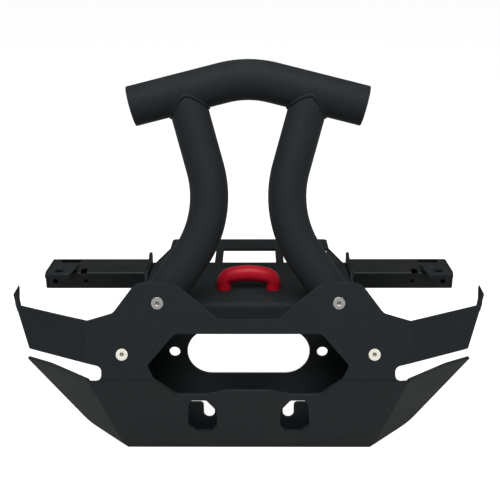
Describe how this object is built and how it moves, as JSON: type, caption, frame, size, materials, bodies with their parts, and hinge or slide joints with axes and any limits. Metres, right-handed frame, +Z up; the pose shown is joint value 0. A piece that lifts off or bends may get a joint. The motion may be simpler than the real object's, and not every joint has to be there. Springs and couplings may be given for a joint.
{
  "type": "atv front bumper",
  "caption": "Front bumper for an all-terrain vehicle: folded face plate with fairlead opening, bent tube hoop, side arms and tow loop.",
  "frame": {"origin": "midway between the two fairlead bolt holes, on the front face of the fairlead plate", "axes": "+Z up, +Y backwards towards the vehicle, +X to the right seen from the front; the fairlead bolts stand along -Y"},
  "size_m": [0.472, 0.2696, 0.4043],
  "materials": {
    "black_coat": "fine-textured black powder coat",
    "red_coat": "smooth red powder coat",
    "screw_steel": "zinc-plated steel",
    "plain_steel": "turned steel"
  },
  "bodies": {
    "root": {"face_plate": "black_coat", "fairlead_tray": "black_coat", "lower_brace": "black_coat", "top_bar": "black_coat", "rear_bar": "black_coat", "tow_loop": "red_coat", "side_plate_right": "black_coat", "side_plate_left": "black_coat", "leg_right": "black_coat", "leg_left": "black_coat", "bar_cap_right": "black_coat", "bar_cap_left": "black_coat", "arm_right": "black_coat", "arm_left": "black_coat", "arm_cap_right": "black_coat", "arm_cap_left": "black_coat", "arm_tab_right": "black_coat", "arm_tab_left": "black_coat", "rear_strut_right": "black_coat", "rear_strut_left": "black_coat", "rear_brace_right": "black_coat", "rear_brace_left": "black_coat", "screw_boss_upper_right": "plain_steel", "screw_boss_upper_left": "plain_steel", "face_screw_upper_right": "screw_steel", "face_screw_upper_left": "screw_steel", "screw_boss_lower_right": "plain_steel", "screw_boss_lower_left": "plain_steel", "face_screw_lower_right": "screw_steel", "face_screw_lower_left": "screw_steel"}
  },
  "joints": []
}
